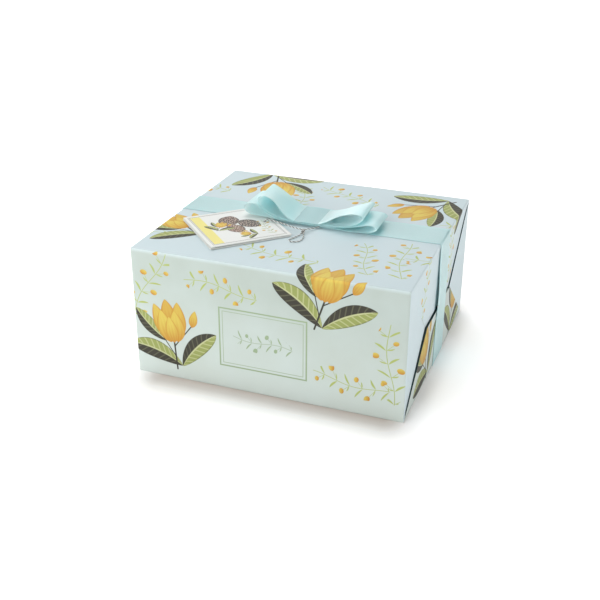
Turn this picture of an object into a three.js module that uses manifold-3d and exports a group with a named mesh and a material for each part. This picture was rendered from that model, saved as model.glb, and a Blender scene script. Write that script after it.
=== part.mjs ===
// A shut gift box for a festive cake: a low carton wrapped in paper with envelope folds at both ends,
// a satin ribbon round it, a flat double bow, a square leaflet as a tag and the cord that holds the tag.
// Millimetres, +Z up, the box's long side along X. The origin is the middle of its underside.

import * as THREE from 'three';
import { RoundedBoxGeometry } from 'three/addons/geometries/RoundedBoxGeometry.js';
import * as BufferGeometryUtils from 'three/addons/utils/BufferGeometryUtils.js';
import Module from 'manifold-3d';

// Box
const boxWidth = 270;
const boxDepth = 244;
const boxHeight = 132;
const edgeRadius = 3;
const edgeSegments = 3;
const mergeDistance = 1e-4;

// Envelope folds at the ends: two side flaps lie under the top flap, and the bottom flap is outermost
const seamHeight = 62;
const sideFlapReach = 73;
const topFlapSink = 0.5;
const sideFlapSink = 1.0;

// Ribbon
const gap = 0.3;
const ribbonWidth = 40;
const ribbonMiddleY = 8;
const bandThickness = 0.35;
const bandTopGap = 0.3;
const grooveDepth = 0.7;
const grooveGap = 0.3;
const cornerSegments = 5;
const bowThickness = 0.28;
const stepsPerPoint = 5;
const pinchedHalf = 12;

// Each half of a bow ring, from its root on top, over its crest and tip, and back along its underside.
// A point is the distance from the box's middle and the height above its top. Front and back are the
// ribbon's two edges, which differ because the ribbon twists a little.
const upperRing = {
  shiftY: -2,
  rootTop: 4.1,
  rootUnder: 3.68,
  right: {
    front: [[12.5, 4.15], [22.9, 8.6], [31.4, 13.9], [41, 17.8], [49.5, 19.4], [56.3, 18.4], [58.4, 15.6],
      [55, 11.3], [48, 7.6], [36, 5.1], [22, 4]],
    back: [[12.5, 4.15], [20.5, 6], [29.4, 8.8], [41.4, 14.2], [50.5, 17.7], [56.4, 19.4], [58.4, 17.7],
      [55, 12.9], [48, 8.6], [36, 5.5], [22, 4.05]],
  },
  left: {
    front: [[-12.6, 4.2], [-21.2, 8.4], [-25.7, 12.7], [-34.4, 22.6], [-43, 25.9], [-49.4, 23.9], [-50.4, 21.1],
      [-45.2, 14.2], [-38.1, 9.2], [-30.2, 5.9], [-21, 4.15]],
    back: [[-12.2, 4.2], [-18.2, 6.4], [-24.2, 10], [-34.3, 16.9], [-43.6, 22.6], [-49.4, 24.9], [-52.2, 22.6],
      [-47.4, 15.6], [-39.4, 9.9], [-30.4, 6.1], [-21, 4.2]],
  },
};
const lowerRing = {
  shiftY: -2.6,
  rootTop: 3.08,
  rootUnder: 2.66,
  right: {
    front: [[12, 3.1], [24, 3.35], [36, 4.2], [48, 6.2], [56, 8.3], [62.5, 10], [68.7, 10.1], [72.8, 7.3],
      [67, 3.3], [55, 1.7], [41, 1.25], [31, 1.75], [20.5, 2.6]],
    back: [[12, 3.1], [24, 3.4], [34, 4.4], [44, 6.6], [52, 9.2], [60, 10.3], [68.9, 9.5], [72.4, 6.8],
      [67, 3.4], [55, 1.9], [41, 1.3], [31, 1.75], [20.5, 2.6]],
  },
  left: {
    front: [[-13, 3.1], [-25.7, 3.85], [-34.7, 6.1], [-41.5, 9.3], [-47.6, 12.9], [-52.6, 16.7], [-58.4, 17.6],
      [-64, 14.6], [-64.4, 9.4], [-58.6, 6], [-47.2, 4.9], [-36, 4.3], [-24, 3.1]],
    back: [[-13, 3.1], [-26, 3.95], [-35.4, 6.3], [-42.6, 9.6], [-49.4, 13], [-54.8, 16.2], [-60.4, 16.4],
      [-65, 13.2], [-64.6, 8.7], [-58.6, 6], [-47.2, 4.9], [-36, 4.3], [-24, 3.1]],
  },
};

// Tag: a square leaflet of four leaves with a punched hole, turned on the box's top and leaning on the ribbon
const tagSide = 81.6;
const tagCornerX = -61;
const tagCornerY = -100.8;
const tagTurn = THREE.MathUtils.degToRad(44.9);
const tagTilt = THREE.MathUtils.degToRad(0.45);
const leafCount = 4;
const leafThickness = 0.35;
const leafPitch = 0.85;
const leafTiltStep = THREE.MathUtils.degToRad(0.1);
const leafFan = THREE.MathUtils.degToRad(0.2);
const holeAlong = 71;
const holeAcross = tagSide / 2;
const holeRadius = 2;
const holeSegments = 16;

// Cord: up through the tag's hole, over its edge, past the knot and under the bow, by its centreline.
// Heights are above the box's top.
const cordDiameter = 1.2;
const cordSides = 8;
const cordStep = 3;
const tagCordRoute = [
  [-39.5, -21.8, 1.9], [-39.3, -21.8, 3.9], [-37.6, -21.8, 4.85], [-34.5, -21.7, 4.65], [-31.2, -21.6, 4.5],
  [-27.2, -22.2, 4.45], [-23.3, -23, 4.35], [-18.5, -24.2, 3.9], [-13.5, -25.5, 3.4], [-8, -26.8, 3],
  [-3, -27.9, 2.75], [0.6, -28.2, 2.6], [3.6, -27, 2.4], [6.4, -24.4, 2.15], [8.8, -21.2, 1.9],
  [11.2, -17.8, 1.7], [13.4, -14.2, 1.6], [15, -9.6, 1.56], [15.2, -4.4, 1.56], [13.6, 1, 1.56], [10.4, 5.6, 1.56],
];
const tailRoute = [
  [5.6, -35.6, 1.7], [6.6, -38.2, 1.15], [7.9, -41.6, 0.95], [8.8, -46, 0.95], [8.6, -51, 0.95],
  [6.4, -55.2, 0.95], [2.4, -57.2, 0.95], [-1.4, -55.6, 0.95], [-2, -52, 0.95], [-0.4, -48.4, 0.95],
  [1.2, -44.8, 0.95], [2.4, -41.2, 0.95], [3.2, -38.4, 1.15], [3.8, -35.8, 1.7],
];
const knotStart = [3.6, -29.6, 2.5];
const knotEnd = [4.7, -34.9, 2.3];
const knotRadius = 1.85;
const knotWraps = 3;
const knotSides = 12;
const knotWaist = 1.52;
const knotValley = 0.01;

// Finishes
const paperColour = 0xc5dbe1;
const ribbonColour = 0xbfe3e6;
const cardColour = 0xdfe3e0;
const cordColour = 0xb9bdb8;

const wasm = await Module();
wasm.setup();

function toSolid(geometry) {
  const bare = geometry.clone();
  bare.deleteAttribute('normal');
  bare.deleteAttribute('uv');
  const merged = BufferGeometryUtils.mergeVertices(bare, mergeDistance);
  return new wasm.Manifold(new wasm.Mesh({
    numProp: 3,
    vertProperties: new Float32Array(merged.attributes.position.array),
    triVerts: new Uint32Array(merged.index.array),
  }));
}

function toGeometry(solid) {
  const mesh = solid.getMesh();
  const geometry = new THREE.BufferGeometry();
  geometry.setAttribute('position', new THREE.BufferAttribute(mesh.vertProperties, 3));
  geometry.setIndex(new THREE.BufferAttribute(mesh.triVerts, 1));
  geometry.computeVertexNormals();
  return geometry;
}

function indexed(points, faces) {
  const geometry = new THREE.BufferGeometry();
  geometry.setAttribute('position', new THREE.Float32BufferAttribute(points.flat(), 3));
  geometry.setIndex(faces.flat());
  geometry.computeVertexNormals();
  return geometry;
}

// An outline of points [y, z, sink] on the right end, cut in by its sink and open to the outside.
function endWedge(outline) {
  const count = outline.length;
  const outside = boxWidth / 2 + edgeRadius;
  const points = [
    ...outline.map(([y, z, sink]) => [boxWidth / 2 - sink, y, z]),
    ...outline.map(([y, z]) => [outside, y, z]),
  ];
  const faces = [];
  for (let i = 1; i < count - 1; i += 1) {
    faces.push([0, i + 1, i], [count, count + i, count + i + 1]);
  }
  for (let i = 0; i < count; i += 1) {
    const next = (i + 1) % count;
    faces.push([i, next, count + next], [i, count + next, count + i]);
  }
  return indexed(points, faces);
}

function roundedOutline(shape, left, bottom, right, top, radius) {
  shape.moveTo(left + radius, bottom);
  shape.lineTo(right - radius, bottom);
  shape.absarc(right - radius, bottom + radius, radius, -Math.PI / 2, 0, false);
  shape.lineTo(right, top - radius);
  shape.absarc(right - radius, top - radius, radius, 0, Math.PI / 2, false);
  shape.lineTo(left + radius, top);
  shape.absarc(left + radius, top - radius, radius, Math.PI / 2, Math.PI, false);
  shape.lineTo(left, bottom + radius);
  shape.absarc(left + radius, bottom + radius, radius, Math.PI, Math.PI * 1.5, false);
  return shape;
}

// A shape drawn in X and Z, made solid along Y about the ribbon's middle.
function alongY(shape, width) {
  const geometry = new THREE.ExtrudeGeometry(shape, { depth: width, bevelEnabled: false, curveSegments: cornerSegments });
  geometry.rotateX(Math.PI / 2);
  geometry.translate(0, ribbonMiddleY + width / 2, 0);
  return geometry;
}

function wrappedBox() {
  const carton = new RoundedBoxGeometry(boxWidth, boxDepth, boxHeight, edgeSegments, edgeRadius);
  carton.translate(0, 0, boxHeight / 2);
  let box = toSolid(carton);

  const front = -boxDepth / 2 + edgeRadius;
  const back = -front;
  const top = boxHeight - edgeRadius;
  const frontKnee = -boxDepth / 2 + sideFlapReach;
  const backKnee = -frontKnee;
  const flaps = [
    [[front, top, 0], [frontKnee, seamHeight, topFlapSink], [backKnee, seamHeight, topFlapSink], [back, top, 0]],
    [[front, edgeRadius, 0], [frontKnee, seamHeight, sideFlapSink], [front, top, 0]],
    [[back, top, 0], [backKnee, seamHeight, sideFlapSink], [back, edgeRadius, 0]],
  ];
  for (const outline of flaps) {
    for (const turn of [0, Math.PI]) {
      box = box.subtract(toSolid(endWedge(outline).rotateZ(turn)));
    }
  }

  const reach = boxWidth / 2 + edgeRadius;
  const grooveTop = grooveDepth + edgeRadius;
  const core = roundedOutline(new THREE.Shape(), -boxWidth / 2, grooveDepth, boxWidth / 2, boxHeight, edgeRadius);
  const slab = new THREE.BoxGeometry(2 * reach, ribbonWidth + 2 * gap, 2 * grooveTop);
  slab.translate(0, ribbonMiddleY, 0);
  const groove = toSolid(slab).subtract(toSolid(alongY(core, ribbonWidth + 4 * gap)));
  return toGeometry(box.subtract(groove));
}

function ribbonBand() {
  const innerSide = boxWidth / 2 + bandTopGap;
  const innerTop = boxHeight + bandTopGap;
  const innerBottom = grooveDepth - grooveGap;
  const innerRadius = edgeRadius + bandTopGap;
  const outerRadius = innerRadius + bandThickness;
  const band = roundedOutline(
    new THREE.Shape(),
    -innerSide - bandThickness,
    innerBottom - bandThickness,
    innerSide + bandThickness,
    innerTop + bandThickness,
    outerRadius,
  );
  band.holes.push(roundedOutline(new THREE.Path(), -innerSide, innerBottom, innerSide, innerTop, innerRadius));
  return alongY(band, ribbonWidth);
}

// One edge of a bow ring as a closed curve in X and height, the right half first.
function ringEdge(ring, side) {
  const right = ring.right[side];
  const left = [...ring.left[side]].reverse();
  const under = [pinchedHalf, 0, -pinchedHalf].map((x) => [x, ring.rootUnder]);
  const points = [[0, ring.rootTop], ...right, ...under, ...left];
  const curve = new THREE.CatmullRomCurve3(
    points.map(([x, z]) => new THREE.Vector3(x, 0, boxHeight + z)),
    true,
    'centripetal',
  );
  return curve.getPoints(points.length * stepsPerPoint).slice(0, -1);
}

// The ribbon of a bow ring: a closed strip between its front and back edges.
function bowRing(ring) {
  const middle = ribbonMiddleY + ring.shiftY;
  const edges = [
    { line: ringEdge(ring, 'front'), y: middle - ribbonWidth / 2 },
    { line: ringEdge(ring, 'back'), y: middle + ribbonWidth / 2 },
  ];
  const count = edges[0].line.length;
  const points = [];
  for (let i = 0; i < count; i += 1) {
    for (const { line, y } of edges) {
      const along = line[(i + 1) % count].clone().sub(line[(i + count - 1) % count]).normalize();
      for (const side of [0.5, -0.5]) {
        const offset = side * bowThickness;
        points.push([line[i].x - along.z * offset, y, line[i].z + along.x * offset]);
      }
    }
  }
  const faces = [];
  for (let i = 0; i < count; i += 1) {
    const here = 4 * i;
    const next = 4 * ((i + 1) % count);
    const sides = [[0, 1], [1, 3], [3, 2], [2, 0]];
    for (const [a, b] of sides) {
      faces.push([here + a, here + b, next + b], [here + a, next + b, next + a]);
    }
  }
  return indexed(points, faces);
}

function tagLeaf() {
  const leaf = new THREE.Shape();
  leaf.moveTo(0, 0);
  leaf.lineTo(tagSide, 0);
  leaf.lineTo(tagSide, tagSide);
  leaf.lineTo(0, tagSide);
  leaf.closePath();
  const hole = new THREE.Path();
  hole.absarc(holeAlong, holeAcross, holeRadius, 0, 2 * Math.PI, true);
  leaf.holes.push(hole);
  return new THREE.ExtrudeGeometry(leaf, {
    depth: leafThickness,
    bevelEnabled: false,
    curveSegments: holeSegments,
  });
}

function cordTube(route) {
  const curve = new THREE.CatmullRomCurve3(
    route.map(([x, y, z]) => new THREE.Vector3(x, y, boxHeight + z)),
    false,
    'centripetal',
  );
  const section = new THREE.Shape();
  for (let i = 0; i < cordSides; i += 1) {
    const turn = (2 * Math.PI * i) / cordSides;
    const place = [(cordDiameter / 2) * Math.cos(turn), (cordDiameter / 2) * Math.sin(turn)];
    if (i === 0) {
      section.moveTo(...place);
    } else {
      section.lineTo(...place);
    }
  }
  section.closePath();
  return new THREE.ExtrudeGeometry(section, {
    steps: Math.ceil(curve.getLength() / cordStep),
    extrudePath: curve,
    bevelEnabled: false,
  });
}

function cordKnot() {
  const start = new THREE.Vector3(...knotStart);
  const end = new THREE.Vector3(...knotEnd);
  const length = start.distanceTo(end);
  const profile = [new THREE.Vector2(0, 0)];
  for (let i = 0; i < knotWraps; i += 1) {
    const foot = (i * length) / knotWraps;
    profile.push(new THREE.Vector2(knotWaist, foot + (i === 0 ? 0 : knotValley)));
    profile.push(new THREE.Vector2(knotRadius, foot + length / knotWraps / 2));
  }
  profile.push(new THREE.Vector2(knotWaist, length), new THREE.Vector2(0, length));
  const knot = new THREE.LatheGeometry(profile, knotSides);
  const turn = new THREE.Quaternion().setFromUnitVectors(
    new THREE.Vector3(0, 1, 0),
    end.clone().sub(start).normalize(),
  );
  knot.applyQuaternion(turn);
  knot.translate(start.x, start.y, boxHeight + start.z);
  return knot;
}

const paper = { color: paperColour, roughness: 0.55, metalness: 0 };
const satin = { color: ribbonColour, roughness: 0.35, metalness: 0 };
const card = { color: cardColour, roughness: 0.5, metalness: 0 };
const twist = { color: cordColour, roughness: 0.6, metalness: 0 };

const group = new THREE.Group();

function piece(parent, name, geometry, finish) {
  const mesh = new THREE.Mesh(geometry, new THREE.MeshStandardMaterial(finish));
  mesh.name = name;
  parent.add(mesh);
  return mesh;
}

piece(group, 'wrapped_box', wrappedBox(), paper);
piece(group, 'ribbon_band', ribbonBand(), satin);
piece(group, 'bow_ring_lower', bowRing(lowerRing), satin);
piece(group, 'bow_ring_upper', bowRing(upperRing), satin);

// The leaves turn about the near corner, lean back onto the ribbon and fan open a little.
for (let i = 0; i < leafCount; i += 1) {
  const tilted = new THREE.Group();
  tilted.position.set(tagCornerX, tagCornerY, boxHeight + gap + i * leafPitch);
  tilted.rotation.x = tagTilt - i * leafTiltStep;
  const leaf = piece(tilted, `tag_leaf_${i + 1}`, tagLeaf(), card);
  leaf.rotation.z = tagTurn + leafFan * (i % 2 === 0 ? -1 : 1);
  group.add(tilted);
}

piece(group, 'tag_cord', cordTube(tagCordRoute), twist);
piece(group, 'cord_tail', cordTube(tailRoute), twist);
piece(group, 'cord_knot', cordKnot(), twist);

export default group;
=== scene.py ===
# A shut gift box in printed paper, with a satin ribbon, a flat double bow, a leaflet tag and its cord.

import math

import bmesh
import bpy
from mathutils import Matrix, Vector


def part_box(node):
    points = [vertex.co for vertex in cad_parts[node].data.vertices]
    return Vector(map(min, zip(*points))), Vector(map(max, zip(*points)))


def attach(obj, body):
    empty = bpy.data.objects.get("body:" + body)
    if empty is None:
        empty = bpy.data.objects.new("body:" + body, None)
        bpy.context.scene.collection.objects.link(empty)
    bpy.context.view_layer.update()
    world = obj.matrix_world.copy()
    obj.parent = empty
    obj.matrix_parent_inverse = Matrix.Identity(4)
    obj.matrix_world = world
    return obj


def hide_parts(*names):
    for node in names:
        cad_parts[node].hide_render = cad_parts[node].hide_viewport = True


bl_info = {
    "name": "Ribboned Gift Box",
    "version": (1, 0, 0),
    "blender": (4, 5, 0),
    "location": "3D View > Sidebar > Gift Box",
    "description": "Dresses a gift box with printed paper, a satin ribbon, a bow, a leaflet tag and a cord",
    "category": "Object",
}

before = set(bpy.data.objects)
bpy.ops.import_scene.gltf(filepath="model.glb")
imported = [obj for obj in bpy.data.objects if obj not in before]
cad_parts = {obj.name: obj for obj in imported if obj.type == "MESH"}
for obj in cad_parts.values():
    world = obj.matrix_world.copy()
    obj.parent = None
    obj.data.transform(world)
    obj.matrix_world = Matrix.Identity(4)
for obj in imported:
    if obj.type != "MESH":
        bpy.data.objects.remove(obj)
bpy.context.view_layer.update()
carton_low, carton_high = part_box("wrapped_box")
band_low, band_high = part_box("ribbon_band")

MM = 0.001
PICTURE_SIZE = 600
WHITE = (1.0, 1.0, 1.0, 1.0)
BLACK = (0.0, 0.0, 0.0, 1.0)


def display(red, green, blue):
    """A colour given as it shows on a screen, from 0 to 255, as the linear colour that a socket takes."""
    linear = [
        c / 255 / 12.92 if c / 255 <= 0.04045 else ((c / 255 + 0.055) / 1.055) ** 2.4
        for c in (red, green, blue)
    ]
    return (*linear, 1.0)


def number(name, description, default, **options):
    return bpy.props.FloatProperty(name=name, description=description, default=default, **options)


def length(name, description, default):
    return number(name, description, default, unit="LENGTH", subtype="DISTANCE", precision=5)


def angle(name, description, degrees):
    return number(name, description, math.radians(degrees), unit="ROTATION", subtype="ANGLE")


def power(name, description, default):
    return number(name, description, default, unit="POWER")


def colour(name, description, red, green, blue):
    return bpy.props.FloatVectorProperty(
        name=name, description=description, default=display(red, green, blue), size=4, min=0.0, max=1.0,
        subtype="COLOR",
    )


class GIFTBOX_PG_paper(bpy.types.PropertyGroup):
    fold_radius: length("Fold Radius", "Rounding of the paper over the carton's edges", 2.2 * MM)
    seam_height: length("Seam Height", "Height of the end flaps' meeting line", 62 * MM)
    knee_reach: length("Knee Reach", "How far the side flaps reach in from the front and back", 73 * MM)
    swell: length("Swell", "Unevenness of the paper's large faces", 0.7 * MM)
    top_tint: colour("Top Tint", "Paper colour on the top and the ends", 203, 218, 222)
    # The front and back tint is greener as printed and darker as painted shade.
    front_print_and_shade_tint: colour("Front Tint", "Paper colour high on the front and back", 172, 183, 176)
    # Painted light: the front and back grow lighter towards the bottom.
    low_painted_light_tint: colour("Low Tint", "Paper colour low on the front and back", 195, 205, 199)
    # Painted shade: a dark colour for the open gaps along the end folds, where only shade falls.
    crevice_shade_tint: colour("Reverse Tint", "The paper's unprinted side in the folds", 74, 96, 98)
    petal_light: colour("Petal Light", "Bright yellow of the printed blooms", 222, 200, 94)
    petal_deep: colour("Petal Deep", "Orange yellow of the printed blooms", 201, 138, 54)
    leaf_light: colour("Leaf Light", "Olive side of the printed leaves", 158, 168, 98)
    leaf_dark: colour("Leaf Dark", "Dark side of the printed leaves", 66, 64, 55)
    vein: colour("Vein", "Printed leaf veins", 203, 207, 156)
    stem: colour("Stem", "Printed thin stems", 180, 194, 110)
    sage: colour("Sage", "Printed frame line", 146, 164, 133)


class GIFTBOX_PG_ribbon(bpy.types.PropertyGroup):
    width: length("Width", "Width of the ribbon", 40 * MM)
    band_thickness: length("Band Thickness", "Thickness of the ribbon round the box", 0.35 * MM)
    bow_thickness: length("Bow Thickness", "Thickness of the ribbon in the bow", 0.28 * MM)
    tint: colour("Tint", "Colour of the satin", 185, 230, 232)
    depth_tint: colour("Depth Tint", "Colour of the satin's dull side threads", 173, 223, 225)
    bow_tint: colour("Bow Tint", "Colour of the satin in the bow, where light comes through", 202, 243, 245)
    bow_depth_tint: colour("Bow Depth Tint", "Colour of the bow's dull side threads", 192, 238, 240)
    # Painted shade: the bow's flat middle is a darker satin.
    middle_tint: colour("Middle Tint", "Colour of the satin in the bow's flat middle", 162, 200, 202)
    # Painted light: the satin inside the loops is lighter than outside.
    inner_tint: colour("Inner Tint", "Colour of the satin inside the bow's loops", 211, 251, 252)
    inner_depth_tint: colour("Inner Depth Tint", "Colour of the threads inside the loops", 205, 249, 250)


class GIFTBOX_PG_tag(bpy.types.PropertyGroup):
    side: length("Side", "Side of the square leaflet", 81.6 * MM)
    leaf_thickness: length("Leaf Thickness", "Thickness of one leaf", 0.35 * MM)
    turn: angle("Turn", "Turn of the leaflet on the box", 44.9)
    card: colour("Card", "Colour of the leaflet", 231, 232, 229)
    strip: colour("Strip", "Printed strip along the leaflet's near left edge", 236, 226, 140)


class GIFTBOX_PG_cord(bpy.types.PropertyGroup):
    diameter: length("Diameter", "Diameter of the twisted cord", 1.2 * MM)
    twist: length("Twist", "Length of one full turn of the two plies", 4.2 * MM)
    light_ply: colour("Light Ply", "Colour of the pale thread", 222, 223, 216)
    dark_ply: colour("Dark Ply", "Colour of the dark thread", 36, 38, 38)


class GIFTBOX_PG_stage(bpy.types.PropertyGroup):
    azimuth: angle("Azimuth", "Camera's turn round the box from the front", 20.24)
    elevation: angle("Elevation", "Camera's height above the horizon as an angle", 26.01)
    roll: angle("Roll", "Camera's roll about its line of sight", 0.29)
    distance: length("Distance", "Camera's distance along its line of sight", 1021.8 * MM)
    aim_right: length("Aim Right", "How far the aim lies left of the origin in the picture", 9.7 * MM)
    aim_up: length("Aim Up", "How far the aim lies above the origin in the picture", 40.7 * MM)
    focal_pixels: number("Focal Pixels", "Focal length in pixels of the picture", 968.0)
    key_power: power("Key Power", "Power of the light at the left in front", 2.6)
    front_power: power("Front Power", "Power of the light in front", 8.6)
    right_power: power("Right Power", "Power of the light at the right", 4.0)
    back_power: power("Back Power", "Power of the low panel behind, which the satin shines with", 3.8)
    top_power: power("Top Power", "Power of the large light overhead", 15.3)
    sky: number(
        "Sky", "Strength of the even light from all round", 0.24, min=0.0, max=4.0, subtype="FACTOR"
    )


PROPERTY_GROUPS = {
    "giftbox_paper": GIFTBOX_PG_paper,
    "giftbox_ribbon": GIFTBOX_PG_ribbon,
    "giftbox_tag": GIFTBOX_PG_tag,
    "giftbox_cord": GIFTBOX_PG_cord,
    "giftbox_stage": GIFTBOX_PG_stage,
}


# Modelling helpers

def clear_selection():
    if bpy.context.object and bpy.context.object.mode != "OBJECT":
        bpy.ops.object.mode_set(mode="OBJECT")
    bpy.ops.object.select_all(action="DESELECT")


def take_up(piece):
    """Makes a piece the only selected one and the active one."""
    clear_selection()
    piece.select_set(True)
    bpy.context.view_layer.objects.active = piece


def settle(piece):
    """Puts the piece's place, turn and size into its mesh."""
    take_up(piece)
    bpy.ops.object.transform_apply(location=True, rotation=True, scale=True)


def choose(piece, kind, test):
    """Selects the vertices, edges or faces of a piece in edit mode that pass the test, and no others."""
    bpy.ops.mesh.select_mode(type={"verts": "VERT", "edges": "EDGE", "faces": "FACE"}[kind])
    bpy.ops.mesh.select_all(action="DESELECT")
    shape = bmesh.from_edit_mesh(piece.data)
    found = [item for item in getattr(shape, kind) if test(item)]
    if not found:
        raise RuntimeError(f"{piece.name}: nothing to select among its {kind}")
    for item in found:
        item.select_set(True)
    shape.select_flush_mode()
    bmesh.update_edit_mesh(piece.data)


def choose_all():
    bpy.ops.mesh.select_mode(type="VERT")
    bpy.ops.mesh.select_all(action="SELECT")


def apply_modifiers(piece):
    take_up(piece)
    for modifier in list(piece.modifiers):
        bpy.ops.object.modifier_apply(modifier=modifier.name)


def finish_piece(piece, materials, smooth_degrees=30):
    """Sets a piece's shading, materials and body."""
    take_up(piece)
    bpy.ops.object.shade_smooth_by_angle(angle=math.radians(smooth_degrees))
    for material in materials:
        piece.data.materials.append(material)
    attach(piece, "root")


def new_mesh_piece(name, points, faces):
    mesh = bpy.data.meshes.new(name)
    mesh.from_pydata(points, [], faces)
    mesh.update()
    piece = bpy.data.objects.new(name, mesh)
    bpy.context.scene.collection.objects.link(piece)
    return piece


def write_map(piece, name, place):
    """Gives a piece a UV map whose value at a face's corner is place(face, corner's point)."""
    mesh = piece.data
    layer = mesh.uv_layers.new(name=name)
    for face in mesh.polygons:
        for corner in face.loop_indices:
            point = mesh.vertices[mesh.loops[corner].vertex_index].co
            layer.uv[corner].vector = place(face, point)


def towards(start, end, part):
    return start + (end - start) * part


def smooth_line(points, steps, closed=False):
    """A centripetal Catmull-Rom line through the points, with the same number of steps for each."""
    points = [Vector(p) for p in points]
    count = len(points)
    line = []
    for i in range(count if closed else count - 1):
        before, here, after = points[i - 1], points[i], points[(i + 1) % count]
        beyond = points[(i + 2) % count]
        if not closed and i == 0:
            before = 2 * here - after
        if not closed and i == count - 2:
            beyond = 2 * after - here
        four = (before, here, after, beyond)
        knots = [0.0]
        for a, b in zip(four, four[1:]):
            knots.append(knots[-1] + (b - a).length ** 0.5)
        for step in range(steps):
            t = towards(knots[1], knots[2], step / steps)
            first = [
                towards(four[k], four[k + 1], (t - knots[k]) / (knots[k + 1] - knots[k]))
                for k in range(3)
            ]
            second = [
                towards(first[k], first[k + 1], (t - knots[k]) / (knots[k + 2] - knots[k]))
                for k in range(2)
            ]
            line.append(towards(*second, (t - knots[1]) / (knots[2] - knots[1])))
    if not closed:
        line.append(points[-1])
    return line


# Shader helpers

class Field:
    """A node's output. A sum written with fields and numbers makes the nodes that work it out."""

    def __init__(self, tree, socket):
        self.tree = tree
        self.socket = socket

    def __add__(self, other):
        return calc("ADD", self, other)

    def __sub__(self, other):
        return calc("SUBTRACT", self, other)

    def __rsub__(self, other):
        return calc("SUBTRACT", other, self)

    def __mul__(self, other):
        return calc("MULTIPLY", self, other)

    def __truediv__(self, other):
        return calc("DIVIDE", self, other)

    def __pow__(self, other):
        return calc("POWER", self, other)

    def __abs__(self):
        return calc("ABSOLUTE", self)


def feed(socket, value):
    """Links a socket to a field, or sets it to a number, a vector or a colour."""
    if isinstance(value, Field):
        value.tree.links.new(value.socket, socket)
    else:
        socket.default_value = value


def made(kind, inputs, output=0, **settings):
    """An output of a new node. Its inputs are given by number or name, and one of them is a field."""
    tree = next(value.tree for value in inputs.values() if isinstance(value, Field))
    node = tree.nodes.new("ShaderNode" + kind)
    for name, setting in settings.items():
        setattr(node, name, setting)
    for name, value in inputs.items():
        feed(node.inputs[name], value)
    return Field(tree, node.outputs[output])


def calc(operation, *values):
    return made("Math", dict(enumerate(values)), operation=operation)


def vector_calc(operation, *values):
    output = "Value" if operation in ("DOT_PRODUCT", "LENGTH", "DISTANCE") else "Vector"
    return made("VectorMath", dict(enumerate(values)), output, operation=operation)


def scaled(vector, factor):
    return made("VectorMath", {0: vector, "Scale": factor}, "Vector", operation="SCALE")


def mix(factor, first, second, kind="RGBA"):
    """Mixes two colours, or two values of another kind."""
    first_input, output = {"FLOAT": (2, 0), "VECTOR": (4, 1), "RGBA": (6, 2)}[kind]
    return made("Mix", {0: factor, first_input: first, first_input + 1: second}, output, data_type=kind)


def ramp(value, low, high, to_low=0.0, to_high=1.0):
    """Takes a value between low and high to one between to_low and to_high, clamped."""
    return made("MapRange", dict(enumerate((value, low, high, to_low, to_high))))


def parts_of(vector):
    node = made("SeparateXYZ", {0: vector}).socket.node
    return [Field(vector.tree, output) for output in node.outputs]


def joined(x, y, z=0.0):
    return made("CombineXYZ", dict(enumerate((x, y, z))))


def seen_from(vector, centre, degrees=0.0, size=1.0):
    """The place as a motif sees it whose centre, turn and size are given."""
    turn = (0.0, 0.0, math.radians(degrees))
    inputs = {"Vector": vector, "Location": (*centre, 0.0), "Rotation": turn, "Scale": (size, size, 1.0)}
    return made("Mapping", inputs, vector_type="TEXTURE")


def away_from(place, centre):
    """How far a place lies from a centre along each axis."""
    return vector_calc("ABSOLUTE", vector_calc("SUBTRACT", place, centre))


def noise(vector, scale, detail=2.0, roughness=0.5):
    return made("TexNoise", {"Vector": vector, "Scale": scale, "Detail": detail, "Roughness": roughness})


def map_place(tree, map_name):
    """A piece's own UV map in millimetres."""
    node = tree.nodes.new("ShaderNodeUVMap")
    node.uv_map = map_name
    return scaled(Field(tree, node.outputs[0]), 1 / MM)


def object_place(tree):
    """The place in the object in millimetres."""
    node = tree.nodes.new("ShaderNodeTexCoord")
    return scaled(Field(tree, node.outputs["Object"]), 1 / MM)


VECTOR_SOCKETS = ("Vector", "Start", "End")
NUMBER_SOCKETS = ("Half Length", "Half Width", "Taper", "Bend", "Along", "Across", "Seed", "Mask")


def socket_type(name):
    if name in VECTOR_SOCKETS:
        return "NodeSocketVector"
    return "NodeSocketFloat" if name in NUMBER_SOCKETS else "NodeSocketColor"


def make_group(name, inputs, outputs, fill):
    """A node group with named sockets. fill(values) returns the outputs by name."""
    group = bpy.data.node_groups.new(name, "ShaderNodeTree")
    for in_out, names in (("INPUT", inputs), ("OUTPUT", outputs)):
        for socket_name in names:
            kind = socket_type(socket_name)
            group.interface.new_socket(name=socket_name, in_out=in_out, socket_type=kind)
    inlet = group.nodes.new("NodeGroupInput")
    results = fill({socket.name: Field(group, socket) for socket in inlet.outputs if socket.name})
    outlet = group.nodes.new("NodeGroupOutput")
    for socket_name, value in results.items():
        feed(outlet.inputs[socket_name], value)
    return group


def use_group(plan, **values):
    """Places the group of a plan, which is made the first time. A value's name is its socket's name with
    underscores for spaces."""
    group = bpy.data.node_groups.get(plan[0]) or make_group(*plan)
    tree = next(value.tree for value in values.values() if isinstance(value, Field))
    node = tree.nodes.new("ShaderNodeGroup")
    node.node_tree = group
    for name, value in values.items():
        feed(node.inputs[name.replace("_", " ")], value)
    return {socket.name: Field(tree, socket) for socket in node.outputs}


def new_material(name, roughness, **constants):
    """A material with one Principled shader whose constant sockets are set directly."""
    material = bpy.data.materials.new(name)
    material.use_nodes = True
    tree = material.node_tree
    shader = next(node for node in tree.nodes if node.type == "BSDF_PRINCIPLED")
    shader.inputs["Roughness"].default_value = roughness
    for socket_name, value in constants.items():
        shader.inputs[socket_name.replace("_", " ")].default_value = value
    return material, tree, shader


def bump(shader, height, strength, distance):
    inputs = {"Strength": strength, "Distance": distance, "Height": height}
    feed(shader.inputs["Normal"], made("Bump", inputs, "Normal"))


# Printed motifs, in millimetres

SOFT_EDGE = 0.3
PETAL_ROUNDNESS = 0.75
LEAF_RIBS = 4.5
RIB_SLANT = 1.1
PETAL_STREAKS = 13.0

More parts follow.
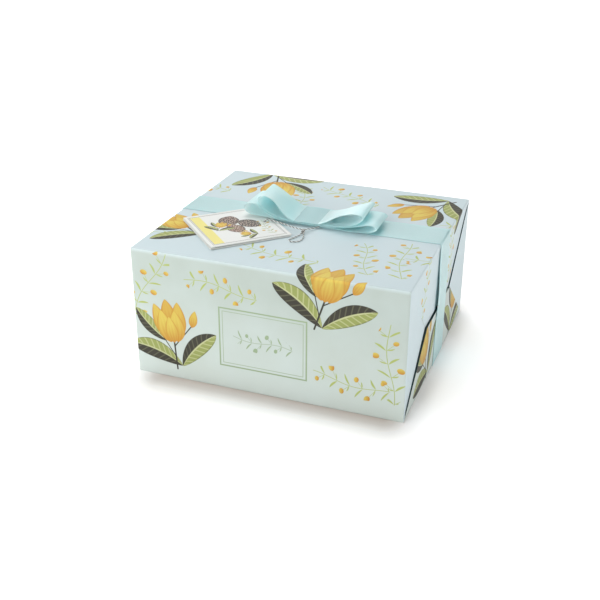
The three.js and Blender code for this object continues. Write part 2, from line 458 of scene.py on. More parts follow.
# Leaves and petals are a centre, a turn in degrees, half the length and width, taper and bend. A petal's
# last number is how bright it is. Strokes are a start, an end and half their width.
BLOOM_LEAVES = (
    ((-25.0, 8.0), 34.0, 25.0, 8.5, 0.1, -0.1),
    ((-24.0, -22.0), 62.0, 33.0, 11.5, 0.2, 0.16),
    ((25.0, -21.0), -54.0, 31.0, 11.0, 0.15, -0.14),
)
BLOOM_STROKES = (
    ((0.0, -10.0), (-5.0, -46.0), 1.1),
    ((-1.0, -18.0), (27.0, 6.0), 0.8),
    ((-3.0, -30.0), (-16.0, 2.0), 0.7),
)
BLOOM_PETALS = (
    ((1.0, 17.0), 0.0, 21.0, 10.0, -0.2, 0.0, 0.55),
    ((-10.0, 12.0), 13.0, 22.0, 9.5, -0.25, -0.05, 0.8),
    ((11.0, 12.0), -13.0, 22.0, 9.5, -0.25, 0.05, 0.7),
    ((-6.5, 6.0), 5.0, 19.5, 10.0, -0.2, -0.03, 1.0),
    ((7.0, 5.0), -7.0, 18.5, 10.0, -0.2, 0.03, 0.92),
    ((0.0, 1.5), -2.0, 15.5, 7.5, -0.2, 0.0, 1.0),
    ((30.0, 13.0), -24.0, 10.5, 5.0, -0.3, 0.0, 0.85),
)
BLOOM_REACH = 60.0
SPRIG_LEAVES = (((-6.5, -2.0), 58.0, 7.5, 1.3, 0.0, 0.12), ((4.5, -5.2), -76.0, 4.5, 0.9, 0.0, 0.12))
SPRIG_HALF = 45.0
SPRIG_STEP = 15.0
SPRIG_REACH = 18.0
SPRIG_SWAY = 3.5
STEM_HALF = 0.55
STALK_START = (0.0, -6.5, 0.0)
STALK_HALF = 0.4
BUTTON_OUT = 11.0
BUTTON_UP = 2.0
BUTTON_RADIUS = 3.9
FAR_AWAY = (1000.0, 1000.0, 0.0)


def inked(inside):
    """How much ink lies at a place that far inside a shape."""
    return ramp(inside, 0.0, SOFT_EDGE)


def petal_shape(given):
    across, up, _ = parts_of(given["Vector"])
    along = up / given["Half Length"]
    squared = along * along
    fullness = calc("MAXIMUM", 1.0 - squared, 0.0) ** PETAL_ROUNDNESS
    half = fullness * (given["Taper"] * along + 1.0) * given["Half Width"]
    bent = squared * given["Bend"] * given["Half Length"] + across
    return {"Mask": inked(half - abs(bent)), "Along": along, "Across": bent / calc("MAXIMUM", half, 0.05)}


def stroke_shape(given):
    reach = vector_calc("SUBTRACT", given["Vector"], given["Start"])
    whole = vector_calc("SUBTRACT", given["End"], given["Start"])
    part = vector_calc("DOT_PRODUCT", reach, whole) / vector_calc("DOT_PRODUCT", whole, whole)
    distance = vector_calc("DISTANCE", reach, scaled(whole, ramp(part, 0.0, 1.0)))
    return {"Mask": inked(given["Half Width"] - distance)}


def leaf_tint(given):
    width = abs(given["Across"])
    side = ramp(given["Across"], -0.12, 0.12)
    blade = mix(side, given["Dark"], given["Light"])
    row = calc("FRACT", given["Along"] * LEAF_RIBS - width * RIB_SLANT)
    ribs = ramp(abs(row - 0.5), 0.05, 0.16, 1.0, 0.0) * ramp(side, 0.0, 1.0, 0.12, 0.75)
    midrib = ramp(width, 0.05, 0.1, 1.0, 0.0)
    veined = mix(calc("MAXIMUM", ribs, midrib), blade, given["Vein"])
    rim = ramp(width, 0.86, 0.98) * 0.7
    return {"Color": mix(rim, veined, given["Dark"])}


def petal_tint(given):
    base = ramp(given["Along"], -0.9, 0.45, 0.85, 0.0)
    streaked = calc("SINE", given["Across"] * PETAL_STREAKS) * 0.11 + base
    shade = calc("MAXIMUM", streaked, ramp(abs(given["Across"]), 0.55, 1.0, 0.0, 0.9))
    return {"Color": mix(ramp(shade, 0.0, 1.0), given["Light"], given["Deep"])}


PETAL = ("Petal Shape", ("Vector", "Half Length", "Half Width", "Taper", "Bend"),
         ("Mask", "Along", "Across"), petal_shape)
STROKE = ("Stroke Shape", ("Vector", "Start", "End", "Half Width"), ("Mask",), stroke_shape)
LEAF_TINT = ("Leaf Tint", ("Along", "Across", "Light", "Dark", "Vein"), ("Color",), leaf_tint)
PETAL_TINT = ("Petal Tint", ("Along", "Across", "Light", "Deep"), ("Color",), petal_tint)


def petal_at(vector, centre, degrees, half_length, half_width, taper, bend):
    return use_group(PETAL, Vector=seen_from(vector, centre, degrees), Half_Length=half_length,
                     Half_Width=half_width, Taper=taper, Bend=bend)


def lay(below, mask, tint):
    """Prints a part of a motif over what is below: a colour, and how much of the paper it covers."""
    if below is None:
        return tint, mask
    below_tint, cover = below
    return mix(mask, below_tint, tint), calc("MAXIMUM", cover, mask)


def bloom_print(given):
    """A tulip-like bloom with a bud and three leaves."""
    below = None
    for leaf in BLOOM_LEAVES:
        shape = petal_at(given["Vector"], *leaf)
        tint = use_group(LEAF_TINT, Along=shape["Along"], Across=shape["Across"],
                         Light=given["Leaf Light"], Dark=given["Leaf Dark"], Vein=given["Vein"])
        below = lay(below, shape["Mask"], tint["Color"])
    for start, end, half_width in BLOOM_STROKES:
        line = use_group(STROKE, Vector=given["Vector"], Start=(*start, 0.0), End=(*end, 0.0),
                         Half_Width=half_width)
        below = lay(below, line["Mask"], given["Stem"])
    for *petal, brightness in BLOOM_PETALS:
        shape = petal_at(given["Vector"], *petal)
        tint = use_group(PETAL_TINT, Along=shape["Along"], Across=shape["Across"],
                         Light=mix(brightness, given["Deep"], given["Light"]), Deep=given["Deep"])
        below = lay(below, shape["Mask"], tint["Color"])
    return {"Color": below[0], "Mask": below[1]}


def sprig_print(given):
    """A thin stem whose side stems end in round yellow buttons, to one side and the other in turn."""
    across, up, _ = parts_of(given["Vector"])
    side = calc("SINE", up * 0.065 + given["Seed"]) * SPRIG_SWAY + across
    cell = calc("FLOOR", up / SPRIG_STEP)
    rise = up - (cell * SPRIG_STEP + SPRIG_STEP / 2)
    turn = calc("FLOORED_MODULO", cell, 2.0) * 2.0 - 1.0
    wander = calc("SINE", cell * 2.4 + given["Seed"] * 3.1)
    here = joined(side * turn, rise)
    tip = joined(wander * 2.2 + BUTTON_OUT, BUTTON_UP)
    stalk = use_group(STROKE, Vector=here, Start=STALK_START, End=tip, Half_Width=STALK_HALF)
    below = lay((given["Stem"], inked(STEM_HALF - abs(side))), stalk["Mask"], given["Stem"])
    for leaf in SPRIG_LEAVES:
        below = lay(below, petal_at(here, *leaf)["Mask"], given["Stem"])
    offset = vector_calc("SUBTRACT", here, tip)
    distance = vector_calc("LENGTH", vector_calc("MULTIPLY", offset, (1.0, 1.25, 0.0)))
    shade = ramp(parts_of(offset)[1], -3.0, 2.4, 1.0, 0.0)
    button = inked(wander * 0.7 + BUTTON_RADIUS - distance)
    tint, cover = lay(below, button, mix(shade, given["Light"], given["Deep"]))
    return {"Color": tint, "Mask": cover * calc("LESS_THAN", abs(up), SPRIG_HALF)}


BLOOM = ("Bloom", ("Vector", "Light", "Deep", "Leaf Light", "Leaf Dark", "Vein", "Stem"),
         ("Color", "Mask"), bloom_print)
SPRIG = ("Sprig", ("Vector", "Seed", "Light", "Deep", "Stem"), ("Color", "Mask"), sprig_print)


def bloom_at(vector, paper):
    return use_group(BLOOM, Vector=vector, Light=paper.petal_light, Deep=paper.petal_deep,
                     Leaf_Light=paper.leaf_light, Leaf_Dark=paper.leaf_dark, Vein=paper.vein,
                     Stem=paper.leaf_dark)


def nearest_spot(place, spots, half_width, half_length):
    """The place as seen from the spot that it lies in, of spots that keep clear of each other, and the
    spot's number. A spot is a centre in u and v, a turn in degrees and a size."""
    chosen, found = FAR_AWAY, 0.0
    for index, (u, v, degrees, size) in enumerate(spots):
        local = seen_from(place, (u, v), degrees, size)
        level = vector_calc("MULTIPLY", local, (1 / half_width, 1 / half_length, 0.0))
        near = calc("LESS_THAN", vector_calc("LENGTH", level), 1.0)
        chosen = mix(near, chosen, local, "VECTOR")
        found = mix(near, found, index + 1.0, "FLOAT")
    return chosen, found


# The wrap's print, on the unfolded sheet: u runs along the box, v from front to back over its top, both
# from the top's middle. The front starts at v = -122 and ends at -254, the ends start at u = 135.
BLOOM_SPOTS = (
    (60.0, -132.0, -10.0, 0.92),
    (-96.0, -202.0, 12.0, 0.88),
    (98.0, 72.0, 150.0, 0.95),
    (-70.0, 88.0, 205.0, 0.95),
    (-116.0, -52.0, 62.0, 0.8),
    (172.0, -322.0, -64.0, 0.85),
    (172.0, 300.0, -110.0, 0.85),
    (-172.0, -306.0, 64.0, 0.85),
    (-172.0, 318.0, 110.0, 0.85),
    (52.0, 196.0, 170.0, 0.92),
    (-84.0, 214.0, 196.0, 0.9),
)
SPRIG_SPOTS = (
    (0.0, -88.0, 78.0, 0.92),
    (112.0, -60.0, 8.0, 0.9),
    (78.0, -68.0, 20.0, 0.8),
    (150.0, -60.0, 80.0, 0.85),
    (160.0, 44.0, 96.0, 0.85),
    (14.0, 84.0, 60.0, 0.9),
    (120.0, -196.0, 4.0, 0.9),
    (84.0, -222.0, 84.0, 0.82),
    (-118.0, -156.0, -28.0, 0.86),
    (-44.0, -148.0, 84.0, 0.82),
    (-32.0, 62.0, 12.0, 0.8),
    (-150.0, 60.0, 84.0, 0.85),
    (-156.0, -84.0, 96.0, 0.8),
    (-10.0, 186.0, 24.0, 0.9),
    (-18.0, 232.0, 84.0, 0.9),
    (110.0, 214.0, -12.0, 0.9),
    (-30.0, -300.0, 74.0, 1.0),
    (70.0, 320.0, 60.0, 1.0),
)
FRAME_CENTRE = (-2.4, -197.8)
FRAME_HALF = (43.3, 30.3)
FRAME_LINES = ((0.0, 0.75), (-3.2, 0.3))
FRAME_SPRIG = (-2.4, -197.8, 84.0, 0.66)

# From the sheet's middle: where the top's colour gives way to the front's, and where the front's fades to
# the lighter low tint, a painted light; and how far the painted shade darkens the print on the front and
# back.
TOP_EDGE = (120.0, 125.0)
FRONT_FADE = (145.0, 254.0)
UPRIGHT_SHADE = 0.2


def framed_panel(place):
    """The mask of a plain double line."""
    u, v, _ = parts_of(away_from(place, (*FRAME_CENTRE, 0.0)))
    outside = calc("MAXIMUM", u - FRAME_HALF[0], v - FRAME_HALF[1])
    mask = 0.0
    for offset, half_width in FRAME_LINES:
        line = ramp(half_width - abs(outside - offset), -SOFT_EDGE / 2, SOFT_EDGE / 2)
        mask = calc("MAXIMUM", mask, line)
    return mask


def paper_material(props):
    material, tree, shader = new_material("Printed Gift Paper", 0.5, Specular_IOR_Level=0.25)
    place = map_place(tree, "Sheet")
    from_middle = abs(parts_of(place)[1])
    # The top's tint gives way to the front's, which is greener as printed and darker as painted shade, and
    # lower down to a lighter tint as painted light.
    ground = mix(ramp(from_middle, *TOP_EDGE), props.top_tint, props.front_print_and_shade_tint)
    ground = mix(ramp(from_middle, *FRONT_FADE), ground, props.low_painted_light_tint)
    cloud = ramp(noise(place, 0.018, 3.0), 0.35, 0.7, 0.0, 0.16)
    ground = mix(cloud, ground, display(210, 226, 230))
    # Painted shade: the print on the front and back is mixed towards black.
    painted_upright_shade = ramp(from_middle, *TOP_EDGE, 0.0, UPRIGHT_SHADE)
    spot, found = nearest_spot(place, SPRIG_SPOTS + (FRAME_SPRIG,), SPRIG_REACH, SPRIG_HALF + 2.0)
    sprig = use_group(SPRIG, Vector=spot, Seed=found, Light=props.petal_light, Deep=props.petal_deep,
                      Stem=props.stem)
    in_frame = calc("GREATER_THAN", found, len(SPRIG_SPOTS) + 0.5)
    sprig_tint = mix(in_frame, mix(painted_upright_shade, sprig["Color"], BLACK), props.sage)
    ground = mix(sprig["Mask"], ground, sprig_tint)
    ground = mix(framed_panel(place), ground, props.sage)
    spot, _ = nearest_spot(place, BLOOM_SPOTS, BLOOM_REACH, BLOOM_REACH)
    bloom = bloom_at(spot, props)
    ground = mix(bloom["Mask"], ground, mix(painted_upright_shade, bloom["Color"], BLACK))
    feed(shader.inputs["Base Color"], ground)
    around = object_place(tree)
    grain = noise(around, 2.2, 3.0, 0.6)
    soft = noise(around, 0.03)
    feed(shader.inputs["Roughness"], ramp(soft, 0.3, 0.7, 0.48, 0.6))
    bump(shader, soft * 6.0 + grain * 0.1, 0.5, 0.1 * MM)
    return material


def crevice_shade_material(props):
    material, tree, shader = new_material("Paper Fold Inside", 0.85, Specular_IOR_Level=0.1)
    grain = noise(object_place(tree), 1.2)
    # Painted shade: the gaps along the end folds are coloured dark, with a darker grain.
    tint = mix(ramp(grain, 0.3, 0.7), props.crevice_shade_tint, display(60, 78, 80))
    feed(shader.inputs["Base Color"], tint)
    return material


# Folding the paper

HIP_ROWS = (0.1, 0.4, 0.7, 1.0)
HIP_BEVEL = 0.3 * MM
EDGE_PROFILE = 0.72
LONG_EDGE = 20 * MM
EVEN_CUTS = {"x": 26, "y": 23, "z": 12}
FOLD_REACH = 1.5 * MM
KNEE_SIDE_OUT = 0.3 * MM
KNEE_SIDE_HALF = 0.15 * MM
KNEE_OFF_SEAM = 0.25 * MM
TOUCHING = 0.01 * MM
ON_END = 0.05 * MM
FACING = 0.6
SEAM_GAP_HALF = 2 * MM
SEAM_GAP_END = 8 * MM
KNEE_MARGIN = 4 * MM
SIDE_FLAP_MAP = 1.0
SIDE_FLAP_SQUEEZE = 10
UNDER_SEAM_Y = 8 * MM
GROOVE_DEPTH = 0.7 * MM
GROOVE_GAP = 0.3 * MM
GROOVE_BITE = 0.02 * MM
CORE_ROOM = 20 * MM
SWELL_SIZE = 75 * MM
SWELL_REST = 0.6
SWELL_ON_ENDS = 0.3
AXES = {"x": Vector((1, 0, 0)), "y": Vector((0, 1, 0)), "z": Vector((0, 0, 1))}

# How far each layer sinks beside a fold line of an end, from the carton's corner to the knee, then how
# deep the gap between them goes and how far it reaches under the upper layer. All in millimetres.
END_FOLDS = {
    "lower front": {"over": (-0.1, -0.4), "under": (0.8, 1.9), "gap": 3.5, "tuck": 2.2},
    "lower back": {"over": (0.0, -0.2), "under": (0.2, 0.3), "gap": 1.0, "tuck": 0.4},
    "upper front": {"over": (0.1, 1.6), "under": (0.2, 1.65), "gap": 0.6, "tuck": 0.1},
    "upper back": {"over": (0.0, 0.3), "under": (0.8, 1.6), "gap": 3.5, "tuck": 2.2},
}
KNEE_FOLDS = {
    "front": {"top": 1.6, "side": 1.9, "bottom": -0.4, "gap": 3.8, "tuck": 2.4},
    "back": {"top": 1.6, "side": 0.3, "bottom": -0.2, "gap": 2.2, "tuck": 0.8},
}


class EndPlan:
    """Where the fold lines of an end lie, in Y and Z."""

    def __init__(self, props):
        self.radius = props.fold_radius
        self.seam = props.seam_height
        self.flat_x = carton_high.x - self.radius
        self.flat_y = carton_high.y - self.radius
        self.low = self.radius
        self.high = carton_high.z - self.radius
        self.knee_y = carton_high.y - props.knee_reach

    def corner(self, name):
        level, depth = name.split()
        y = self.flat_y if depth == "back" else -self.flat_y
        return Vector((y, self.low if level == "lower" else self.high))

    def knee(self, depth):
        return Vector((self.knee_y * (1 if depth == "back" else -1), self.seam))

    def upper_layer(self, name):
        """A direction in Y and Z, square to the fold line, towards the layer that lies on top there."""
        level, depth = name.split()
        line = (self.knee(depth) - self.corner(name)).normalized()
        across = Vector((line.y, -line.x))
        target = {"lower": Vector((0, self.low)), "upper": Vector((0, self.high))}[level]
        if name == "upper back":
            target = Vector((self.flat_y, self.seam))
        return across if across.dot(target - self.corner(name)) > 0 else -across

    def shows_crevice_shade(self, y, z):
        """Whether the open gap at a place on an end gets the painted crevice shade: low in front and high
        at the back, where the side flaps stand off, and between them in front."""
        if not self.low + MM < z < self.high - MM or abs(y) > self.flat_y - MM:
            return False
        if abs(z - self.seam) < SEAM_GAP_HALF:
            return y < SEAM_GAP_END or y > self.knee_y - KNEE_MARGIN
        return (y < 0) == (z < self.seam)

    def layer_at(self, y, z):
        """The flap that shows at a place on an end: top, bottom or side."""
        inwards = (self.flat_y - abs(y)) / (self.flat_y - self.knee_y)
        if z > self.seam:
            return "top" if (self.high - z) / (self.high - self.seam) < inwards else "side"
        return "bottom" if (z - self.low) / (self.seam - self.low) < inwards else "side"


def fold_rings(paper, plan, side):
    """Draws an end face in rings to its meeting line, as a hip roof, and opens the fold lines."""
    end = carton_high.x * side
    choose(paper, "faces", lambda face: face.normal.x * side > 0.9999)
    at_y, left = plan.flat_y, 1.0
    for row in HIP_ROWS:
        next_y = towards(plan.flat_y, plan.knee_y, row)
        narrowing = (1, next_y / at_y, (1 - row) / left)
        bpy.ops.mesh.extrude_region_move()
        bpy.ops.transform.resize(value=narrowing, center_override=(end, 0, plan.seam))
        at_y, left = next_y, 1 - row
    choose_all()
    bpy.ops.mesh.remove_doubles(threshold=TOUCHING)

    def on_fold(point):
        inwards = (plan.flat_y - abs(point.y)) / (plan.flat_y - plan.knee_y)
        rise = (plan.high - point.z) / (plan.high - plan.seam)
        if point.z < plan.seam:
            rise = (point.z - plan.low) / (plan.seam - plan.low)
        return abs(point.x - end) < TOUCHING and abs(inwards - rise) < 0.001

    def is_fold(edge):
        start, finish = (vertex.co for vertex in edge.verts)
        along_seam = abs(start.z - plan.seam) + abs(finish.z - plan.seam) < TOUCHING
        slanted = abs(start.y - finish.y) > MM and abs(start.z - finish.z) > MM
        return on_fold(start) and on_fold(finish) and (along_seam or slanted)

    choose(paper, "edges", is_fold)
    bpy.ops.mesh.bevel(offset=HIP_BEVEL, offset_type="OFFSET", segments=2, affect="EDGES")


def shift(paper, side, near, test, sink, tuck=(0.0, 0.0)):
    """Moves the end's vertices near a place in Y and Z that pass the test: inwards, and along the end."""
    def passes(vertex):
        place = Vector((vertex.co.y, vertex.co.z))
        on_end = abs(vertex.co.x - carton_high.x * side) < ON_END
        return on_end and (place - near).length < FOLD_REACH and test(place - near)

    choose(paper, "verts", passes)
    bpy.ops.transform.translate(value=(-side * sink * MM, tuck[0], tuck[1]))


def layer_end(paper, plan, side):
    """Lays the flaps of an end over each other, with an open gap along each fold line."""
    edge = HIP_BEVEL / 3
    for name, fold in END_FOLDS.items():
        depth = name.split()[1]
        over = plan.upper_layer(name)
        for row in HIP_ROWS[:-1]:
            near = plan.corner(name).lerp(plan.knee(depth), row)
            part = min(1.0, 0.5 + row)
            shift(paper, side, near, lambda off: off.dot(over) > edge, towards(*fold["over"], row))
            shift(paper, side, near, lambda off: off.dot(over) < -edge, towards(*fold["under"], row))
            shift(paper, side, near, lambda off: abs(off.dot(over)) <= edge, fold["gap"] * part,
                  over * fold["tuck"] * part * MM)
    for depth, knee in KNEE_FOLDS.items():
        outwards = 1 if depth == "back" else -1
        near = plan.knee(depth)
        tests = {
            "side": lambda off: off.x * outwards > KNEE_SIDE_OUT and abs(off.y) < KNEE_SIDE_HALF,
            "top": lambda off: off.y > KNEE_OFF_SEAM and off.x * outwards < 0,
            "bottom": lambda off: off.y < -KNEE_OFF_SEAM and off.x * outwards < 0,
        }
        for flap, test in tests.items():
            shift(paper, side, near, test, knee[flap])
        shift(paper, side, near, lambda off: True, knee["gap"], (0.0, -knee["tuck"] * MM))


def cut_evenly(paper):
    """Cuts the long edges, so that the large faces can swell a little."""
    for axis, cuts in EVEN_CUTS.items():
        direction = AXES[axis]

        def runs_along(edge):
            reach = edge.verts[1].co - edge.verts[0].co
            return reach.length > LONG_EDGE and abs(reach.normalized().dot(direction)) > 0.995

        choose(paper, "edges", runs_along)
        bpy.ops.mesh.subdivide(number_cuts=cuts)


def swell(piece, weights, strength, scale, rest_level, name, direction="NORMAL"):
    """Moves a piece's surface in and out unevenly. weights(point) says how much at a point."""
    group = piece.vertex_groups.new(name=name)
    for vertex in piece.data.vertices:
        group.add([vertex.index], weights(vertex.co), "REPLACE")
    pattern = bpy.data.textures.new(name, "CLOUDS")
    pattern.noise_scale = scale
    modifier = piece.modifiers.new(name, "DISPLACE")
    modifier.texture = pattern
    modifier.texture_coords = "LOCAL"
    modifier.vertex_group = name
    modifier.strength = strength
    modifier.mid_level = rest_level
    modifier.direction = direction


def cube(name, low, high):
    """A cube between two corners, with its place in its mesh."""
    low, high = Vector(low), Vector(high)
    clear_selection()
    bpy.ops.mesh.primitive_cube_add(size=1, location=(low + high) / 2, scale=high - low)
    piece = bpy.context.object
    piece.name = name
    settle(piece)
    return piece


def cut_away(piece, tool):
    """Takes one closed piece out of another and removes it."""
    modifier = piece.modifiers.new("Cut", "BOOLEAN")
    modifier.operation = "DIFFERENCE"
    modifier.solver = "EXACT"
    modifier.object = tool
    take_up(piece)
    bpy.ops.object.modifier_apply(modifier=modifier.name)
    bpy.data.meshes.remove(tool.data)


def ribbon_groove(paper, radius):
    """The shallow groove under the box that the ribbon runs in, round the lower edges too."""
    reach = carton_high.x + radius
    low_y, high_y = band_low.y - GROOVE_GAP, band_high.y + GROOVE_GAP
    slab_z = GROOVE_DEPTH + radius
    slab = cube("Groove Slab", (-reach, low_y, -slab_z), (reach, high_y, slab_z))
    core_x = carton_high.x - GROOVE_BITE
    core_low = (-core_x, band_low.y - CORE_ROOM, GROOVE_DEPTH)
    core = cube("Groove Core", core_low, (core_x, band_high.y + CORE_ROOM, CORE_ROOM))

    def is_lower_end(edge):
        start, finish = (vertex.co for vertex in edge.verts)
        return max(start.z, finish.z) < GROOVE_DEPTH + MM and abs(start.x - finish.x) < MM

    bpy.ops.object.mode_set(mode="EDIT")
    choose(core, "edges", is_lower_end)
    bpy.ops.mesh.bevel(offset=radius, offset_type="OFFSET", segments=4, affect="EDGES")
    bpy.ops.object.mode_set(mode="OBJECT")
    cut_away(slab, core)
    cut_away(paper, slab)


def sheet_place(plan, face, point):
    """The place on the unfolded sheet of a point of the folded paper, in metres."""
    centre = face.center
    radius = plan.radius

    def round_edge(out, drop):
        """Length over a rounded edge and on down, for a point that far out from the flat and below it."""
        if drop >= radius:
            return radius * math.pi / 2 + drop - radius
        return radius * math.atan2(max(out, 0.0), radius - drop) if out > 0 else out

    height = carton_high.z
    out_x, out_y = abs(point.x) - plan.flat_x, abs(point.y) - plan.flat_y
    side = 1 if centre.x > 0 else -1
    depth = 1 if centre.y > 0 else -1
    wall = radius * math.pi + height - 2 * radius
    on_end = abs(face.normal.x) > FACING and abs(centre.x) > plan.flat_x - MM
    layer = plan.layer_at(centre.y, centre.z) if on_end else None
    if layer == "side":
        return SIDE_FLAP_MAP + point.y, point.z / SIDE_FLAP_SQUEEZE
    if centre.z < plan.low * 0.3 or layer == "bottom":
        v = plan.flat_y + wall + plan.flat_y - abs(point.y)
        if centre.y < UNDER_SEAM_Y:
            v = -(plan.flat_y + wall + point.y + plan.flat_y)
        u = point.x if out_x <= 0 else side * (plan.flat_x + round_edge(out_x, point.z))
        return u, v
    if on_end or (abs(face.normal.z) > FACING and centre.z > plan.high):
        u = point.x if out_x <= 0 else side * (plan.flat_x + round_edge(out_x, height - point.z))
        v = point.y if out_y <= 0 else depth * (plan.flat_y + round_edge(out_y, height - point.z))
        return u, v
    if abs(face.normal.y) > FACING or centre.z > plan.low:
        return point.x, depth * (plan.flat_y + round_edge(max(out_y, 0.0), height - point.z))
    return point.x, depth * (plan.flat_y + wall - round_edge(max(out_y, 0.0), point.z))


class GIFTBOX_OT_paper(bpy.types.Operator):
    """Fold the printed paper round the box, with its envelope ends and the ribbon's groove"""

    bl_idname = "giftbox.paper"
    bl_label = "Fold the Paper"

    def execute(self, context):
        props = context.scene.giftbox_paper
        plan = EndPlan(props)
        paper = cube("printed_paper_wrap", carton_low, carton_high)
        bpy.ops.object.mode_set(mode="EDIT")
        choose_all()
        bpy.ops.mesh.bevel(
            offset=plan.radius, offset_type="OFFSET", segments=4, profile=EDGE_PROFILE, affect="EDGES"
        )
        for side in (1, -1):
            fold_rings(paper, plan, side)
            layer_end(paper, plan, side)
        cut_evenly(paper)
        bpy.ops.object.mode_set(mode="OBJECT")

        def looseness(point):
            if point.z < plan.low:
                return 0.0
            if abs(point.x) > plan.flat_x or band_low.y - MM < point.y < band_high.y + MM:
                return SWELL_ON_ENDS
            return 1.0

        swell(paper, looseness, props.swell, SWELL_SIZE, SWELL_REST, "Paper Swell")
        apply_modifiers(paper)
        ribbon_groove(paper, plan.radius)
        write_map(paper, "Sheet", lambda face, point: sheet_place(plan, face, point))
        finish_piece(paper, [paper_material(props), crevice_shade_material(props)])
        # Faces in the open gaps along the end folds take the second material, a painted shade.
        for face in paper.data.polygons:
            inner_end = abs(face.center.x) > plan.flat_x - MM and abs(face.normal.x) < 0.75
            face.material_index = int(inner_end and plan.shows_crevice_shade(face.center.y, face.center.z))
        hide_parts("wrapped_box")
        return {"FINISHED"}


# Ribbon

BAND_COLUMNS = 12
BAND_RADIUS = 2 * MM
BAND_DEPTH = 1.5 * MM
TOP_STEPS, END_STEPS, BEND_STEPS = 44, 24, 7
RING_STEPS = 10
RING_COLUMNS = 16

# How far the band stands off the box: evenly, in a slight wave, and at its loose front edge on the ends.
BAND_REST = 0.12 * MM
BAND_WAVE = 0.06 * MM
LOOSE_HEIGHT = 78 * MM
LOOSE_REACH = 24 * MM
LOOSE_LIFT = 1.1 * MM

# A ring's crown across its width, past a place out from the middle, and how much higher its back edge lies
# in the middle.
CROWN_STARTS = 20
CROWN_GROWS = 30
CROWN = 0.25 * MM
TILT_HALF = 16 * MM
TILT = 1.8 * MM

# A ring of the bow by its front and back edges: X and the height over the box, in millimetres. Each half
# starts at the middle and comes back to it underneath.
RINGS = {
    "bow_ring_upper": {
        "shift_y": -2.0,
        "top": 4.1,
        "under": 3.68,
        "right front": ((12.5, 4.15), (22.9, 8.6), (31.4, 13.9), (41, 17.8), (49.5, 19.4), (56.3, 18.4),
                        (58.4, 15.6), (55, 11.3), (48, 7.6), (36, 5.1), (22, 4)),
        "right back": ((12.5, 4.15), (20.5, 6), (29.4, 8.8), (41.4, 14.2), (50.5, 17.7), (56.4, 19.4),
                       (58.4, 17.7), (55, 12.9), (48, 8.6), (36, 5.5), (22, 4.05)),
        "left front": ((-12.6, 4.2), (-21.2, 8.4), (-25.7, 12.7), (-34.4, 22.6), (-43, 25.9), (-49.4, 23.9),
                       (-50.4, 21.1), (-45.2, 14.2), (-38.1, 9.2), (-30.2, 5.9), (-21, 4.15)),
        "left back": ((-12.2, 4.2), (-18.2, 6.4), (-24.2, 10), (-34.3, 16.9), (-43.6, 22.6), (-49.4, 24.9),
                      (-52.2, 22.6), (-47.4, 15.6), (-39.4, 9.9), (-30.4, 6.1), (-21, 4.2)),
        "flat_length": 0.239,
    },
    "bow_ring_lower": {
        "shift_y": -2.6,
        "top": 3.08,
        "under": 2.66,
        "right front": ((12, 3.1), (24, 3.35), (36, 4.2), (48, 6.2), (56, 8.3), (62.5, 10), (68.7, 10.1),
                        (72.8, 7.3), (67, 3.3), (55, 1.7), (41, 1.25), (31, 1.75), (20.5, 2.6)),
        "right back": ((12, 3.1), (24, 3.4), (34, 4.4), (44, 6.6), (52, 9.2), (60, 10.3), (68.9, 9.5),
                       (72.4, 6.8), (67, 3.4), (55, 1.9), (41, 1.3), (31, 1.75), (20.5, 2.6)),
        "left front": ((-13, 3.1), (-25.7, 3.85), (-34.7, 6.1), (-41.5, 9.3), (-47.6, 12.9), (-52.6, 16.7),
                       (-58.4, 17.6), (-64, 14.6), (-64.4, 9.4), (-58.6, 6), (-47.2, 4.9), (-36, 4.3),
                       (-24, 3.1)),
        "left back": ((-13, 3.1), (-26, 3.95), (-35.4, 6.3), (-42.6, 9.6), (-49.4, 13), (-54.8, 16.2),
                      (-60.4, 16.4), (-65, 13.2), (-64.6, 8.7), (-58.6, 6), (-47.2, 4.9), (-36, 4.3),
                      (-24, 3.1)),
        "flat_length": 0.284,
    },
}
ROOT_HALF = 12
MIDDLE_HALF = 12.8 * MM
THREAD_PITCH = 0.42
SELVEDGE_PITCH = 0.8
SELVEDGE = (18.7, 19.1)

# The satin of a ring: how far light goes into it, and its two tints. First outside, then inside the loops,
# made lighter as painted light, then in the flat middle, where the layers lie together, made darker as
# painted shade.
BOW_SATINS = (
    ("Satin Bow", 1.8 * MM, "bow_tint", "bow_depth_tint"),
    ("Satin Bow Inside", 2.5 * MM, "inner_tint", "inner_depth_tint"),
    ("Satin Bow Middle", 0.5 * MM, "middle_tint", "middle_tint"),
)
OUTSIDE, LIT_INSIDE, SHADED_MIDDLE = range(3)


def satin_material(name, depth, tint, depth_tint):
    """Satin ribbon. Light goes that deep into it, which is right through where it is free on both sides."""
    material, tree, shader = new_material(
        name, 0.3, IOR=1.65, Anisotropic=0.4, Sheen_Weight=0.25, Sheen_Roughness=0.4,
        Sheen_Tint=display(190, 236, 238), Subsurface_Weight=1.0, Subsurface_Radius=(1.0, 1.0, 1.0),
        Subsurface_Scale=depth,
    )
    along, across, _ = parts_of(map_place(tree, "Ribbon"))
    streaks = noise(joined(along * 0.03, across * 2.4), 1.0)
    selvedge = ramp(abs(across), *SELVEDGE)
    tint = mix(ramp(streaks, 0.3, 0.7, 0.0, 0.55), tint, depth_tint)
    tint = mix(selvedge * 0.5, tint, display(176, 222, 224))
    feed(shader.inputs["Base Color"], tint)
    threads = calc("SINE", across * (2 * math.pi / THREAD_PITCH))
    ribs = calc("SINE", along * (2 * math.pi / SELVEDGE_PITCH))
    height = mix(selvedge, streaks * 2.0 + threads, ribs * 2.5, "FLOAT")
    bump(shader, height, 0.35, 0.02 * MM)
    return material


